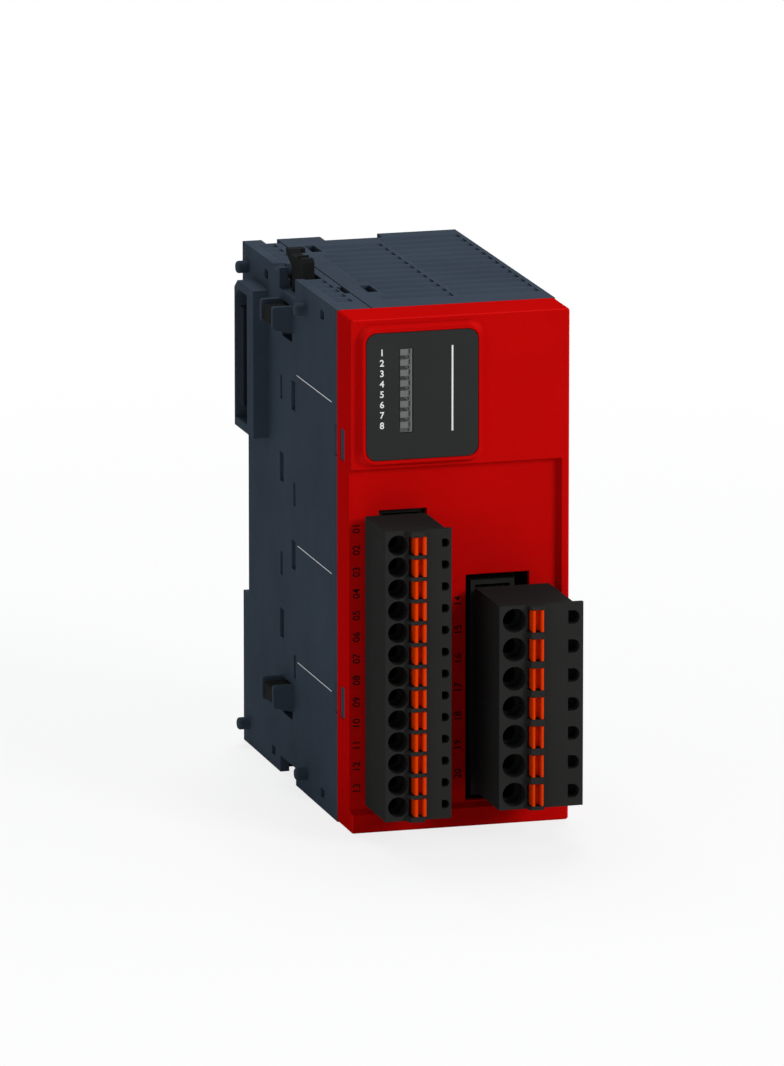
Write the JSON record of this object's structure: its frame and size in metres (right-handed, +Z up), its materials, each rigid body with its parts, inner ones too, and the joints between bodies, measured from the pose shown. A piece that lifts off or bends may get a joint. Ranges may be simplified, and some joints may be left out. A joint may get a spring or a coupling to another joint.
{
  "type": "safety relay",
  "caption": "DIN-rail safety relay module with a red front cover, pluggable spring terminal blocks, status lamps and a sideways bus connection to its neighbour.",
  "frame": {"origin": "centre of the DIN-rail seat on the back of the housing", "axes": "+Y out of the back towards the rail's panel, +Z up along the module's height, +X to the right seen from the front"},
  "size_m": [0.0426, 0.0884, 0.0932],
  "materials": {
    "housing": "fine matt moulding, dark blue-grey",
    "cover": "satin moulding, signal red",
    "label": "printed film, dark grey",
    "light_guide": "clear to smoky moulding",
    "lock": "matt moulding, near black",
    "plug": "fine matt moulding, dark grey",
    "lever": "satin moulding, orange",
    "contact": "tin-plated copper alloy",
    "bus": "matt moulding, black-blue",
    "board": "glass-epoxy laminate with solder mask",
    "relay": "moulded relay can",
    "chip": "moulded package",
    "can": "sleeved can",
    "ferrite": "ferrite core with tape"
  },
  "bodies": {
    "case": {"board_link": "chip", "bus_inlet_blades": "contact", "bus_inlet_carrier": "bus", "bus_outlet_blades": "contact", "bus_outlet_socket": "bus", "capacitors": "can", "controller_chips": "chip", "display_label": "label", "front_cover": "cover", "header_left": "plug", "header_pins_left": "contact", "header_pins_right": "contact", "header_right": "plug", "left_shell": "housing", "light_guide": "light_guide", "logic_board": "board", "main_shell": "housing", "power_board": "board", "relay_k1": "relay", "relay_k2": "relay", "status_lamps": "light_guide", "supply_transformer": "ferrite"},
    "left_plug": {"plug_left": "plug", "contacts_left": "contact"},
    "right_plug": {"plug_right": "plug", "contacts_right": "contact"},
    "bus_lock": {"lock_slide": "lock"},
    "clip": {"rail_clip": "lock"},
    "lever_left_01_body": {"lever_left_01": "lever"},
    "lever_left_02_body": {"lever_left_02": "lever"},
    "lever_left_03_body": {"lever_left_03": "lever"},
    "lever_left_04_body": {"lever_left_04": "lever"},
    "lever_left_05_body": {"lever_left_05": "lever"},
    "lever_left_06_body": {"lever_left_06": "lever"},
    "lever_left_07_body": {"lever_left_07": "lever"},
    "lever_left_08_body": {"lever_left_08": "lever"},
    "lever_left_09_body": {"lever_left_09": "lever"},
    "lever_left_10_body": {"lever_left_10": "lever"},
    "lever_left_11_body": {"lever_left_11": "lever"},
    "lever_left_12_body": {"lever_left_12": "lever"},
    "lever_left_13_body": {"lever_left_13": "lever"},
    "lever_right_01_body": {"lever_right_01": "lever"},
    "lever_right_02_body": {"lever_right_02": "lever"},
    "lever_right_03_body": {"lever_right_03": "lever"},
    "lever_right_04_body": {"lever_right_04": "lever"},
    "lever_right_05_body": {"lever_right_05": "lever"},
    "lever_right_06_body": {"lever_right_06": "lever"},
    "lever_right_07_body": {"lever_right_07": "lever"}
  },
  "joints": [
    {"name": "left_plug_slide", "type": "slide", "parent": "case", "child": "left_plug", "axis": [0, -1, 0], "range_m": [0, 0.01]},
    {"name": "right_plug_slide", "type": "slide", "parent": "case", "child": "right_plug", "axis": [0, -1, 0], "range_m": [0, 0.01]},
    {"name": "bus_lock_slide", "type": "slide", "parent": "case", "child": "bus_lock", "axis": [0, 0, -1], "range_m": [0, 0.0022]},
    {"name": "clip_slide", "type": "slide", "parent": "case", "child": "clip", "axis": [0, 0, -1], "range_m": [0, 0.0025], "stiffness_N_per_m": 1200, "springref_m": -0.002},
    {"name": "lever_left_01_press", "type": "slide", "parent": "left_plug", "child": "lever_left_01_body", "axis": [0, 1, 0], "range_m": [0, 0.0012], "stiffness_N_per_m": 2500, "springref_m": -0.0005},
    {"name": "lever_left_02_press", "type": "slide", "parent": "left_plug", "child": "lever_left_02_body", "axis": [0, 1, 0], "range_m": [0, 0.0012], "stiffness_N_per_m": 2500, "springref_m": -0.0005},
    {"name": "lever_left_03_press", "type": "slide", "parent": "left_plug", "child": "lever_left_03_body", "axis": [0, 1, 0], "range_m": [0, 0.0012], "stiffness_N_per_m": 2500, "springref_m": -0.0005},
    {"name": "lever_left_04_press", "type": "slide", "parent": "left_plug", "child": "lever_left_04_body", "axis": [0, 1, 0], "range_m": [0, 0.0012], "stiffness_N_per_m": 2500, "springref_m": -0.0005},
    {"name": "lever_left_05_press", "type": "slide", "parent": "left_plug", "child": "lever_left_05_body", "axis": [0, 1, 0], "range_m": [0, 0.0012], "stiffness_N_per_m": 2500, "springref_m": -0.0005},
    {"name": "lever_left_06_press", "type": "slide", "parent": "left_plug", "child": "lever_left_06_body", "axis": [0, 1, 0], "range_m": [0, 0.0012], "stiffness_N_per_m": 2500, "springref_m": -0.0005},
    {"name": "lever_left_07_press", "type": "slide", "parent": "left_plug", "child": "lever_left_07_body", "axis": [0, 1, 0], "range_m": [0, 0.0012], "stiffness_N_per_m": 2500, "springref_m": -0.0005},
    {"name": "lever_left_08_press", "type": "slide", "parent": "left_plug", "child": "lever_left_08_body", "axis": [0, 1, 0], "range_m": [0, 0.0012], "stiffness_N_per_m": 2500, "springref_m": -0.0005},
    {"name": "lever_left_09_press", "type": "slide", "parent": "left_plug", "child": "lever_left_09_body", "axis": [0, 1, 0], "range_m": [0, 0.0012], "stiffness_N_per_m": 2500, "springref_m": -0.0005},
    {"name": "lever_left_10_press", "type": "slide", "parent": "left_plug", "child": "lever_left_10_body", "axis": [0, 1, 0], "range_m": [0, 0.0012], "stiffness_N_per_m": 2500, "springref_m": -0.0005},
    {"name": "lever_left_11_press", "type": "slide", "parent": "left_plug", "child": "lever_left_11_body", "axis": [0, 1, 0], "range_m": [0, 0.0012], "stiffness_N_per_m": 2500, "springref_m": -0.0005},
    {"name": "lever_left_12_press", "type": "slide", "parent": "left_plug", "child": "lever_left_12_body", "axis": [0, 1, 0], "range_m": [0, 0.0012], "stiffness_N_per_m": 2500, "springref_m": -0.0005},
    {"name": "lever_left_13_press", "type": "slide", "parent": "left_plug", "child": "lever_left_13_body", "axis": [0, 1, 0], "range_m": [0, 0.0012], "stiffness_N_per_m": 2500, "springref_m": -0.0005},
    {"name": "lever_right_01_press", "type": "slide", "parent": "right_plug", "child": "lever_right_01_body", "axis": [0, 1, 0], "range_m": [0, 0.0012], "stiffness_N_per_m": 2500, "springref_m": -0.0005},
    {"name": "lever_right_02_press", "type": "slide", "parent": "right_plug", "child": "lever_right_02_body", "axis": [0, 1, 0], "range_m": [0, 0.0012], "stiffness_N_per_m": 2500, "springref_m": -0.0005},
    {"name": "lever_right_03_press", "type": "slide", "parent": "right_plug", "child": "lever_right_03_body", "axis": [0, 1, 0], "range_m": [0, 0.0012], "stiffness_N_per_m": 2500, "springref_m": -0.0005},
    {"name": "lever_right_04_press", "type": "slide", "parent": "right_plug", "child": "lever_right_04_body", "axis": [0, 1, 0], "range_m": [0, 0.0012], "stiffness_N_per_m": 2500, "springref_m": -0.0005},
    {"name": "lever_right_05_press", "type": "slide", "parent": "right_plug", "child": "lever_right_05_body", "axis": [0, 1, 0], "range_m": [0, 0.0012], "stiffness_N_per_m": 2500, "springref_m": -0.0005},
    {"name": "lever_right_06_press", "type": "slide", "parent": "right_plug", "child": "lever_right_06_body", "axis": [0, 1, 0], "range_m": [0, 0.0012], "stiffness_N_per_m": 2500, "springref_m": -0.0005},
    {"name": "lever_right_07_press", "type": "slide", "parent": "right_plug", "child": "lever_right_07_body", "axis": [0, 1, 0], "range_m": [0, 0.0012], "stiffness_N_per_m": 2500, "springref_m": -0.0005}
  ]
}
